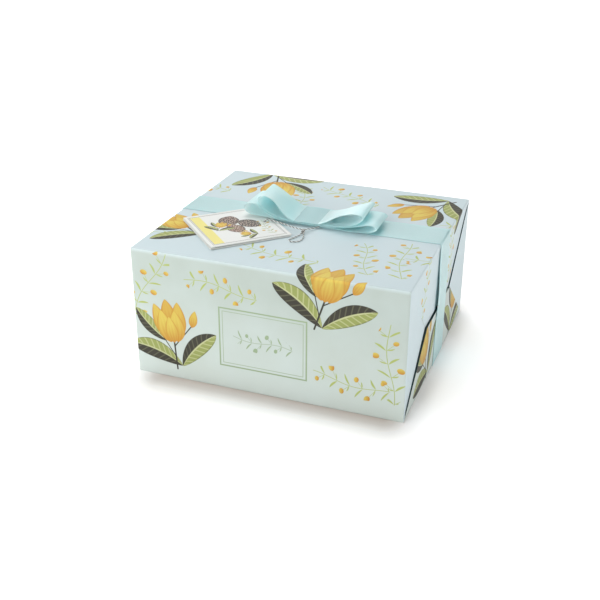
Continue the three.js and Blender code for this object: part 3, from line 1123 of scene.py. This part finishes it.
def strip_piece(name, rows, closed):
    """A strip of quads through rows of points, with a Ribbon UV map: length along it and across it."""
    columns = len(rows[0])
    points = [point for row in rows for point in row]
    faces = []
    for i in range(len(rows) if closed else len(rows) - 1):
        here, after = i * columns, (i + 1) % len(rows) * columns
        for j in range(columns - 1):
            faces.append((here + j, after + j, after + j + 1, here + j + 1))
    strip = new_mesh_piece(name, points, faces)
    middle = columns // 2
    lengths = [0.0]
    for here, after in zip(rows, rows[1:] + rows[:1]):
        lengths.append(lengths[-1] + (after[middle] - here[middle]).length)
    width = (rows[0][-1] - rows[0][0]).length
    layer = strip.data.uv_layers.new(name="Ribbon")
    for face in strip.data.polygons:
        row, column = divmod(face.index, columns - 1)
        for corner, (down, over) in zip(face.loop_indices, ((0, 0), (1, 0), (1, 1), (0, 1))):
            across = ((column + over) / (columns - 1) - 0.5) * width
            layer.uv[corner].vector = (lengths[row + down], across)
    return strip


def thicken(piece, thickness, inner_material=0):
    modifier = piece.modifiers.new("Thickness", "SOLIDIFY")
    modifier.thickness = thickness
    modifier.offset = 0.0
    modifier.material_offset = inner_material
    apply_modifiers(piece)


class GIFTBOX_OT_band(bpy.types.Operator):
    """Run the satin ribbon once round the box, over the top and down both ends"""

    bl_idname = "giftbox.band"
    bl_label = "Run the Ribbon"

    def execute(self, context):
        props = context.scene.giftbox_ribbon
        half = props.band_thickness / 2
        self.low, self.high = band_low.z + half, band_high.z - half
        self.side = band_high.x - half
        rows = [self.row(*place) for place in self.line()]
        band = strip_piece("satin_ribbon_band", rows, True)
        thicken(band, props.band_thickness)
        satin = satin_material("Satin Band", BAND_DEPTH, props.tint, props.depth_tint)
        finish_piece(band, [satin], 45)
        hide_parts("ribbon_band")
        return {"FINISHED"}

    def line(self):
        """Places round the band, each with the direction that faces away from the box."""
        places = []
        flat_x = self.side - BAND_RADIUS
        flat_low, flat_high = self.low + BAND_RADIUS, self.high - BAND_RADIUS
        runs = (
            (Vector((-flat_x, 0, self.high)), Vector((flat_x, 0, self.high)), AXES["z"], TOP_STEPS),
            (Vector((self.side, 0, flat_high)), Vector((self.side, 0, flat_low)), AXES["x"], END_STEPS),
            (Vector((flat_x, 0, self.low)), Vector((-flat_x, 0, self.low)), -AXES["z"], TOP_STEPS),
            (Vector((-self.side, 0, flat_low)), Vector((-self.side, 0, flat_high)), -AXES["x"], END_STEPS),
        )
        for start, finish, outwards, steps in runs:
            places += [(start.lerp(finish, step / steps), outwards) for step in range(steps + 1)]
            turned = Vector((outwards.z, 0, -outwards.x))
            pivot = finish - outwards * BAND_RADIUS
            for step in range(1, BEND_STEPS):
                bend = step / BEND_STEPS * math.pi / 2
                facing = outwards * math.cos(bend) + turned * math.sin(bend)
                places.append((pivot + facing * BAND_RADIUS, facing))
        return places

    def row(self, place, outwards):
        middle_y = (band_low.y + band_high.y) / 2
        half = (band_high.y - band_low.y) / 2
        points = []
        for column in range(BAND_COLUMNS + 1):
            across = column / BAND_COLUMNS * 2 - 1
            lift = self.lift(place, outwards, across)
            points.append(place + AXES["y"] * (middle_y + across * half) + outwards * lift)
        return points

    def lift(self, place, outwards, across):
        """How far the ribbon stands off: a slight wave, and a loose front edge half way up the ends."""
        if outwards.z < -0.5 or place.z < 4 * MM:
            return 0.0
        wave = math.sin(place.x * 61 + across * 1.7) + math.sin(place.z * 88 + across * 1.1 + 1)
        lift = BAND_REST + wave * BAND_WAVE
        if abs(outwards.x) > 0.5:
            middle = math.exp(-(((place.z - LOOSE_HEIGHT) / LOOSE_REACH) ** 2))
            lift += middle * max(0.0, -across) ** 1.6 * LOOSE_LIFT
        return max(lift, 0.0)


class GIFTBOX_OT_bow(bpy.types.Operator):
    """Lay the two flat ribbon rings of the bow over each other"""

    bl_idname = "giftbox.bow"
    bl_label = "Lay the Bow"

    def execute(self, context):
        props = context.scene.giftbox_ribbon
        satins = [
            satin_material(name, depth, getattr(props, tint), getattr(props, depth_tint))
            for name, depth, tint, depth_tint in BOW_SATINS
        ]
        for node, plan in RINGS.items():
            front, back = (self.edge(plan, side) for side in ("front", "back"))
            rows = [self.row(props, plan, *ends) for ends in zip(front, back)]
            ring = strip_piece("satin_" + node, rows, True)
            for material in satins:
                ring.data.materials.append(material)
            thicken(ring, props.bow_thickness, LIT_INSIDE)
            # Outside faces in the flat middle take the darker satin, a painted shade.
            for face in ring.data.polygons:
                if face.material_index == OUTSIDE and abs(face.center.x) < MIDDLE_HALF:
                    face.material_index = SHADED_MIDDLE
            finish_piece(ring, [], 50)
            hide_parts(node)
        return {"FINISHED"}

    def edge(self, plan, side):
        right, left = list(plan["right " + side]), list(plan["left " + side])
        top, under = plan["top"], plan["under"]
        corners = [(0, top), *right, (ROOT_HALF, under), (0, under), (-ROOT_HALF, under), *reversed(left)]
        points = [(x * MM, 0, carton_high.z + z * MM) for x, z in corners]
        return smooth_line(points, RING_STEPS, closed=True)

    def row(self, props, plan, front, back):
        middle_y = (band_low.y + band_high.y) / 2 + plan["shift_y"] * MM
        points = []
        for column in range(RING_COLUMNS + 1):
            part = column / RING_COLUMNS
            point = front.lerp(back, part)
            point.y = middle_y + (part - 0.5) * props.width
            away = min(1.0, max(0.0, abs(point.x) / MM - CROWN_STARTS) / CROWN_GROWS)
            point.z += away * (1 - (2 * part - 1) ** 2) * CROWN
            point.z += math.exp(-((point.x / TILT_HALF) ** 4)) * part * TILT
            points.append(point)
        return points


# Tag

# A folded sheet of the tag: how far its near corner lies out to the left and over the lowest leaf, its turn
# beyond the tag's own, its lean and droop in degrees, and the height between its leaves. In millimetres.
TAG_SHEETS = (
    {"name": "tag_lower_sheet", "nodes": ("tag_leaf_1", "tag_leaf_2"), "out": 0.9, "rise": 0.0,
     "turn": -0.2, "lean": 0.4, "droop": -0.1, "pitch": 0.45, "printed": False},
    {"name": "tag_upper_sheet", "nodes": ("tag_leaf_3", "tag_leaf_4"), "out": 0.0, "rise": 1.95,
     "turn": 0.2, "lean": 0.26, "droop": 0.46, "pitch": 0.48, "printed": True},
)
TAG_CORNER = Vector((-61 * MM, -100.8 * MM, carton_high.z + 0.475 * MM))
TAG_HOLE = Vector((71 * MM, 40.8 * MM, 0))
HOLE_RADIUS = 2 * MM
PUNCH_DEPTH = 10 * MM
TAG_CELLS = 16
FOLD_STEPS = 6
BLANK = 500 * MM
CARD_WAVE = 0.4 * MM
CARD_WAVE_SIZE = 40 * MM
CARD_WAVE_REST = 0.35

# The card's eggs: centre, turn in degrees, half the length and width in millimetres, and shell colour.
TAG_EGGS = (
    ((38.0, 55.0), -28.0, 14.0, 10.4, (96, 78, 68)),
    ((55.0, 42.0), 36.0, 13.0, 9.6, (74, 66, 60)),
    ((38.0, 34.0), 14.0, 12.0, 8.8, (130, 104, 88)),
)

# The card's two small blooms and its sprig: centre, turn in degrees and size.
CARD_FLOWERS = (((26.0, 46.0), -30.0, 0.28), ((44.0, 18.0), 65.0, 0.22))
CARD_SPRIG = ((67.0, 28.0), 0.0, 0.4)
CARD_SPRIG_SEED = 2.0
CARD_LINES = (3.4, 4.6)
CARD_INK = display(108, 108, 98)
STRIP_CENTRE = 10.0
STRIP_HALF = (5.0, 35.6)
SHELL_PALE = display(222, 200, 186)
SHELL_DARK = display(52, 50, 48)
SHELL_RIM = display(48, 44, 42)


def card_material(tag, paper):
    material, tree, shader = new_material("Printed Card", 0.5, Specular_IOR_Level=0.35)
    place = map_place(tree, "Card")
    grain = ramp(noise(place, 0.5, 3.0), 0.3, 0.7, 0.0, 0.5)
    ground = mix(grain, tag.card, display(228, 231, 226))
    middle = tag.side / MM / 2
    u, v, _ = parts_of(away_from(place, (middle, middle, 0.0)))
    reach = calc("MAXIMUM", u, v)
    for margin in CARD_LINES:
        line = ramp(abs(reach - (middle - margin)), 0.15, 0.36, 0.75, 0.0)
        ground = mix(line, ground, CARD_INK)
    u, v, _ = parts_of(away_from(place, (STRIP_CENTRE, middle, 0.0)))
    strip = calc("LESS_THAN", u, STRIP_HALF[0]) * calc("LESS_THAN", v, STRIP_HALF[1])
    ground = mix(strip, ground, tag.strip)
    for centre, degrees, half_length, half_width, tint in TAG_EGGS:
        shape = petal_at(place, centre, degrees, half_length, half_width, 0.12, 0.0)
        moved = vector_calc("ADD", place, (half_length * 7, 0.0, 0.0))
        shell = mix(ramp(noise(moved, 0.7), 0.5, 0.6), display(*tint), SHELL_PALE)
        shell = mix(ramp(noise(moved, 1.1), 0.56, 0.64), shell, SHELL_DARK)
        rim = ramp(abs(shape["Across"]), 0.75, 1.0, 0.0, 0.8)
        ground = mix(shape["Mask"], ground, mix(rim, shell, SHELL_RIM))
    for flower in CARD_FLOWERS:
        bloom = bloom_at(seen_from(place, *flower), paper)
        ground = mix(bloom["Mask"], ground, bloom["Color"])
    sprig = use_group(SPRIG, Vector=seen_from(place, *CARD_SPRIG), Seed=CARD_SPRIG_SEED,
                      Light=paper.petal_light, Deep=paper.petal_deep, Stem=paper.leaf_light)
    ground = mix(sprig["Mask"], ground, sprig["Color"])
    feed(shader.inputs["Base Color"], ground)
    return material


class GIFTBOX_OT_tag(bpy.types.Operator):
    """Fold the two sheets of the leaflet and lay them on the ribbon and the box"""

    bl_idname = "giftbox.tag"
    bl_label = "Fold the Tag"

    def execute(self, context):
        props = context.scene.giftbox_tag
        material = card_material(props, context.scene.giftbox_paper)
        for plan in TAG_SHEETS:
            sheet = self.fold(plan, props)
            thicken(sheet, props.leaf_thickness)
            self.punch(sheet)
            write_map(sheet, "Card", lambda face, point: self.card_place(face, point, plan))
            swell(sheet, lambda point: 1.0, CARD_WAVE, CARD_WAVE_SIZE, CARD_WAVE_REST, "Card Wave", "Z")
            apply_modifiers(sheet)
            turn = props.turn + math.radians(plan["turn"])
            sheet.rotation_euler = (math.radians(plan["lean"]), math.radians(plan["droop"]), turn)
            out = Vector((math.cos(turn), math.sin(turn), 0)) * plan["out"] * MM
            sheet.location = TAG_CORNER - out + AXES["z"] * plan["rise"] * MM
            settle(sheet)
            finish_piece(sheet, [material])
            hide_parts(*plan["nodes"])
        return {"FINISHED"}

    def fold(self, plan, props):
        """One sheet, folded along its near left side, with its near corner at the origin."""
        pitch = plan["pitch"] * MM
        middle = (props.side / 2, props.side / 2, 0)
        clear_selection()
        bpy.ops.mesh.primitive_grid_add(
            x_subdivisions=TAG_CELLS, y_subdivisions=TAG_CELLS, size=props.side, location=middle
        )
        sheet = bpy.context.object
        sheet.name = plan["name"]
        settle(sheet)
        bpy.ops.object.mode_set(mode="EDIT")
        choose(sheet, "edges", lambda edge: all(vertex.co.x < TOUCHING for vertex in edge.verts))
        bpy.ops.mesh.spin(steps=FOLD_STEPS, angle=math.pi, center=(0, 0, pitch / 2), axis=(0, 1, 0))
        choose(sheet, "edges", lambda edge: all(vertex.co.z > pitch - TOUCHING for vertex in edge.verts))
        for _ in range(TAG_CELLS):
            step = (props.side / TAG_CELLS, 0, 0)
            bpy.ops.mesh.extrude_region_move(TRANSFORM_OT_translate={"value": step})
        bpy.ops.object.mode_set(mode="OBJECT")
        return sheet

    def punch(self, sheet):
        clear_selection()
        bpy.ops.mesh.primitive_cylinder_add(
            vertices=32, radius=HOLE_RADIUS, depth=PUNCH_DEPTH, location=TAG_HOLE
        )
        punch = bpy.context.object
        settle(punch)
        cut_away(sheet, punch)

    def card_place(self, face, point, plan):
        """The place on the card. Only the upper sheet's upper side is printed."""
        printed = plan["printed"] and face.normal.z > 0.7 and face.center.z > plan["pitch"] * MM
        return point.x + (0 if printed else BLANK), point.y


# Cord

CORD_STEP = 0.35 * MM
PLY_SIDES = 8
PLY_FULLNESS = 1.2

# By X, Y and the height over the box, in millimetres: up through the tag's hole, over the tag, past the
# knot and in under the bow. Then the short loop that hangs from the knot.
TAG_CORD_ROUTE = (
    (-39.5, -21.8, 1.9), (-39.3, -21.8, 3.9), (-37.6, -21.8, 4.85), (-34.5, -21.7, 4.65),
    (-31.2, -21.6, 4.5), (-27.2, -22.2, 4.45), (-23.3, -23, 4.35), (-18.5, -24.2, 3.9),
    (-13.5, -25.5, 3.4), (-8, -26.8, 3), (-3, -27.9, 2.75), (0.6, -28.2, 2.6), (3.6, -27, 2.4),
    (6.4, -24.4, 2.15), (8.8, -21.2, 1.9), (11.2, -17.8, 1.7), (13.4, -14.2, 1.6), (15, -9.6, 1.56),
    (15.2, -4.4, 1.56), (13.6, 1, 1.56), (10.4, 5.6, 1.56),
)
TAIL_ROUTE = (
    (5.6, -35.6, 1.7), (6.6, -38.2, 1.15), (7.9, -41.6, 0.95), (8.8, -46, 0.95), (8.6, -51, 0.95),
    (6.4, -55.2, 0.95), (2.4, -57.2, 0.95), (-1.4, -55.6, 0.95), (-2, -52, 0.95), (-0.4, -48.4, 0.95),
    (1.2, -44.8, 0.95), (2.4, -41.2, 0.95), (3.2, -38.4, 1.15), (3.8, -35.8, 1.7),
)
KNOT_ENDS = (Vector((3.6, -29.6, 2.5)), Vector((4.7, -34.9, 2.3)))
KNOT_TURNS = 4
KNOT_STEPS = 12
KNOT_COIL = 1.2


def over_box(points):
    return [Vector((x * MM, y * MM, carton_high.z + z * MM)) for x, y, z in points]


def even_line(points, spacing):
    """The smooth line through the points, in even steps."""
    fine = smooth_line(points, 16)
    gone = [0.0]
    for here, after in zip(fine, fine[1:]):
        gone.append(gone[-1] + (after - here).length)
    count = round(gone[-1] / spacing)
    evenly, index = [], 0
    for step in range(count + 1):
        goal = gone[-1] * step / count
        while index < len(fine) - 2 and gone[index + 1] < goal:
            index += 1
        part = (goal - gone[index]) / (gone[index + 1] - gone[index])
        evenly.append(fine[index].lerp(fine[index + 1], part))
    return evenly


def two_ply(name, line, props):
    """A cord of two threads twisted round each other. The second thread has the second material."""
    radius = props.diameter / 4
    sideways = AXES["x"]
    gone = 0.0
    rings = ([], [])
    for i, place in enumerate(line):
        ahead = (line[min(i + 1, len(line) - 1)] - line[max(i - 1, 0)]).normalized()
        sideways = (sideways - ahead * sideways.dot(ahead)).normalized()
        upwards = ahead.cross(sideways)
        gone += (place - line[i - 1]).length if i else 0.0

        def around(turn):
            return (sideways * math.cos(turn) + upwards * math.sin(turn)) * radius

        for ply, ring in enumerate(rings):
            middle = place + around(2 * math.pi * gone / props.twist + math.pi * ply)
            ring.append([
                middle + around(2 * math.pi * side / PLY_SIDES) * PLY_FULLNESS for side in range(PLY_SIDES)
            ])
    points, faces, plies = [], [], []
    for ply, ring in enumerate(rings):
        first, before = len(points), len(faces)
        points += [point for circle in ring for point in circle]
        for i in range(len(ring) - 1):
            here, after = first + i * PLY_SIDES, first + (i + 1) * PLY_SIDES
            for side in range(PLY_SIDES):
                beside = (side + 1) % PLY_SIDES
                faces.append((here + side, here + beside, after + beside, after + side))
        faces.append(tuple(reversed(range(first, first + PLY_SIDES))))
        faces.append(tuple(range(len(points) - PLY_SIDES, len(points))))
        plies += [ply] * (len(faces) - before)
    cord = new_mesh_piece(name, points, faces)
    for face, ply in zip(cord.data.polygons, plies):
        face.material_index = ply
    return cord


def thread_material(name, tint):
    material, tree, shader = new_material(name, 0.75, Specular_IOR_Level=0.2)
    fibre = noise(object_place(tree), 3.0)
    paler = [towards(part, 1.0, 0.35) for part in tint]
    feed(shader.inputs["Base Color"], mix(ramp(fibre, 0.35, 0.7), tint, paler))
    return material


class GIFTBOX_OT_cord(bpy.types.Operator):
    """Twist the tag's cord, its knot and the loop that hangs from it"""

    bl_idname = "giftbox.cord"
    bl_label = "Twist the Cord"

    def execute(self, context):
        props = context.scene.giftbox_cord
        threads = [
            thread_material("Pale Thread", props.light_ply),
            thread_material("Dark Thread", props.dark_ply),
        ]
        knot = self.twist("twisted_knot", self.coil(), "cord_knot", threads, props)
        tag_line = even_line(over_box(TAG_CORD_ROUTE), CORD_STEP)
        tail_line = even_line(over_box(TAIL_ROUTE), CORD_STEP)
        tag_cord = self.twist("twisted_tag_cord", tag_line, "tag_cord", threads, props)
        tail = self.twist("twisted_loop", tail_line, "cord_tail", threads, props)
        return {"FINISHED"}

    def coil(self):
        """The knot's line: the cord wound round its own length."""
        start, finish = over_box(KNOT_ENDS)
        ahead = (finish - start).normalized()
        sideways = (AXES["x"] - ahead * ahead.x).normalized()
        upwards = ahead.cross(sideways)
        places = []
        for step in range(KNOT_TURNS * KNOT_STEPS + 1):
            turn = step / KNOT_STEPS * 2 * math.pi
            out = (sideways * math.cos(turn) + upwards * math.sin(turn)) * KNOT_COIL * MM
            places.append(start.lerp(finish, step / (KNOT_TURNS * KNOT_STEPS)) + out)
        return even_line(places, CORD_STEP)

    def twist(self, name, line, node, threads, props):
        cord = two_ply(name, line, props)
        finish_piece(cord, threads, 60)
        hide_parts(node)
        return cord


# The stage

FLOOR_SIZE = 16.0
FLOOR_DROP = 0.05 * MM
SENSOR_WIDTH = 36.0
VIEW_REACH = (0.01, 50.0)

# The floor has a painted shadow round this rectangle, and glows from near it and again from far off, so
# that it stays white where the lights don't reach. In millimetres, and then the strength.
SHADE_CENTRE = (4.5, -2.0, 0.0)
SHADE_HALF = (111.5, 120.0, 200.0)
SHADE_REACH = (1, 23)
NEAR_GLOW = (10, 38, 0.0, 0.4)
FAR_GLOW = (500, 1300, 0.0, 0.45)
HORIZON_STRENGTH = 1.02
HORIZON_FADE = 0.1

# A light's place and size in metres, and the setting that holds its power.
LIGHTS = {
    "Key Light": ((-0.62, -0.5, 0.5), 0.6, "key_power"),
    "Front Light": ((-0.45, -1.3, 0.6), 0.8, "front_power"),
    "Right Light": ((1.25, -0.1, 0.5), 0.8, "right_power"),
    "Back Light": ((-0.55, 1.8, 0.55), 1.0, "back_power"),
    "Top Light": ((-0.3, 0.7, 1.6), 1.2, "top_power"),
}


class GIFTBOX_OT_stage(bpy.types.Operator):
    """Lay the pale floor, and set the lights and the camera"""

    bl_idname = "giftbox.stage"
    bl_label = "Set the Stage"

    def execute(self, context):
        props = context.scene.giftbox_stage
        self.set_camera(context, props)
        self.lay_floor()
        self.set_lights(context, props)
        return {"FINISHED"}

    def set_camera(self, context, props):
        azimuth, elevation, roll = props.azimuth, props.elevation, props.roll
        level = Vector((math.sin(azimuth), -math.cos(azimuth), 0)) * math.cos(elevation)
        back = level + AXES["z"] * math.sin(elevation)
        level_right = Vector((math.cos(azimuth), math.sin(azimuth), 0))
        level_up = back.cross(level_right)
        right = level_right * math.cos(roll) + level_up * math.sin(roll)
        up = level_up * math.cos(roll) - level_right * math.sin(roll)
        camera = bpy.data.objects.new("Camera", bpy.data.cameras.new("Camera"))
        context.scene.collection.objects.link(camera)
        place = back * props.distance - right * props.aim_right + up * props.aim_up
        turn = Matrix((right, up, back)).transposed().to_4x4()
        camera.matrix_world = Matrix.Translation(place) @ turn
        camera.data.sensor_width = SENSOR_WIDTH
        camera.data.lens = props.focal_pixels / PICTURE_SIZE * SENSOR_WIDTH
        camera.data.clip_start, camera.data.clip_end = VIEW_REACH
        context.scene.camera = camera

    def lay_floor(self):
        clear_selection()
        bpy.ops.mesh.primitive_plane_add(size=FLOOR_SIZE, location=(0, 0, -FLOOR_DROP))
        floor = bpy.context.object
        floor.name = "Floor"
        material, tree, shader = new_material(
            "Pale Floor", 0.7, Specular_IOR_Level=0.2, Emission_Color=WHITE
        )
        place = object_place(tree)
        outwards = vector_calc("SUBTRACT", away_from(place, SHADE_CENTRE), SHADE_HALF)
        distance = vector_calc("LENGTH", vector_calc("MAXIMUM", outwards, (0.0, 0.0, 0.0)))
        feed(shader.inputs["Emission Strength"], ramp(distance, *NEAR_GLOW) + ramp(distance, *FAR_GLOW))
        speck = ramp(noise(place, 0.05, 3.0), 0.3, 0.7)
        tint = mix(speck, display(240, 239, 238), display(243, 242, 241))
        # Painted shadow: the floor turns a warm grey close round the rectangle.
        tint = mix(ramp(distance, *SHADE_REACH), display(209, 198, 191), tint)
        feed(shader.inputs["Base Color"], tint)
        floor.data.materials.append(material)

    def set_lights(self, context, props):
        context.scene.view_settings.view_transform = "Standard"
        context.scene.cycles.max_bounces = 16
        context.scene.cycles.diffuse_bounces = 12
        world = bpy.data.worlds.new("Even Light")
        world.use_nodes = True
        tree = world.node_tree
        background = tree.nodes["Background"]
        background.inputs["Color"].default_value = WHITE
        direction = Field(tree, tree.nodes.new("ShaderNodeTexCoord").outputs["Generated"])
        strength = ramp(parts_of(direction)[2], 0.0, HORIZON_FADE, HORIZON_STRENGTH, props.sky)
        feed(background.inputs["Strength"], strength)
        context.scene.world = world
        for name, (place, size, setting) in LIGHTS.items():
            light = bpy.data.objects.new(name, bpy.data.lights.new(name, "AREA"))
            context.scene.collection.objects.link(light)
            light.data.energy = getattr(props, setting)
            light.data.size = size
            light.location = place
            light.rotation_mode = "QUATERNION"
            light.rotation_quaternion = Vector(place).to_track_quat("Z", "Y")


OPERATORS = (
    GIFTBOX_OT_stage, GIFTBOX_OT_cord, GIFTBOX_OT_paper, GIFTBOX_OT_band, GIFTBOX_OT_bow, GIFTBOX_OT_tag,
)


class GIFTBOX_PT_panel(bpy.types.Panel):
    """Lists the box's sizes and colours, and the steps that make it"""

    bl_idname = "GIFTBOX_PT_panel"
    bl_label = "Gift Box"
    bl_space_type = "VIEW_3D"
    bl_region_type = "UI"
    bl_category = "Gift Box"

    def draw(self, context):
        for operator in OPERATORS:
            self.layout.operator(operator.bl_idname)
        for name, group in PROPERTY_GROUPS.items():
            box = self.layout.box()
            box.label(text=name.split("_")[1].title())
            for field in group.__annotations__:
                box.prop(getattr(context.scene, name), field)


def register():
    for group in PROPERTY_GROUPS.values():
        bpy.utils.register_class(group)
    for name, group in PROPERTY_GROUPS.items():
        setattr(bpy.types.Scene, name, bpy.props.PointerProperty(type=group))
    for operator in OPERATORS:
        bpy.utils.register_class(operator)
    bpy.utils.register_class(GIFTBOX_PT_panel)


def unregister():
    bpy.utils.unregister_class(GIFTBOX_PT_panel)
    for operator in reversed(OPERATORS):
        bpy.utils.unregister_class(operator)
    for name, group in PROPERTY_GROUPS.items():
        delattr(bpy.types.Scene, name)
        bpy.utils.unregister_class(group)


def main():
    register()
    for operator in OPERATORS:
        family, name = operator.bl_idname.split(".")
        getattr(getattr(bpy.ops, family), name)()


if __name__ == "__main__":
    main()
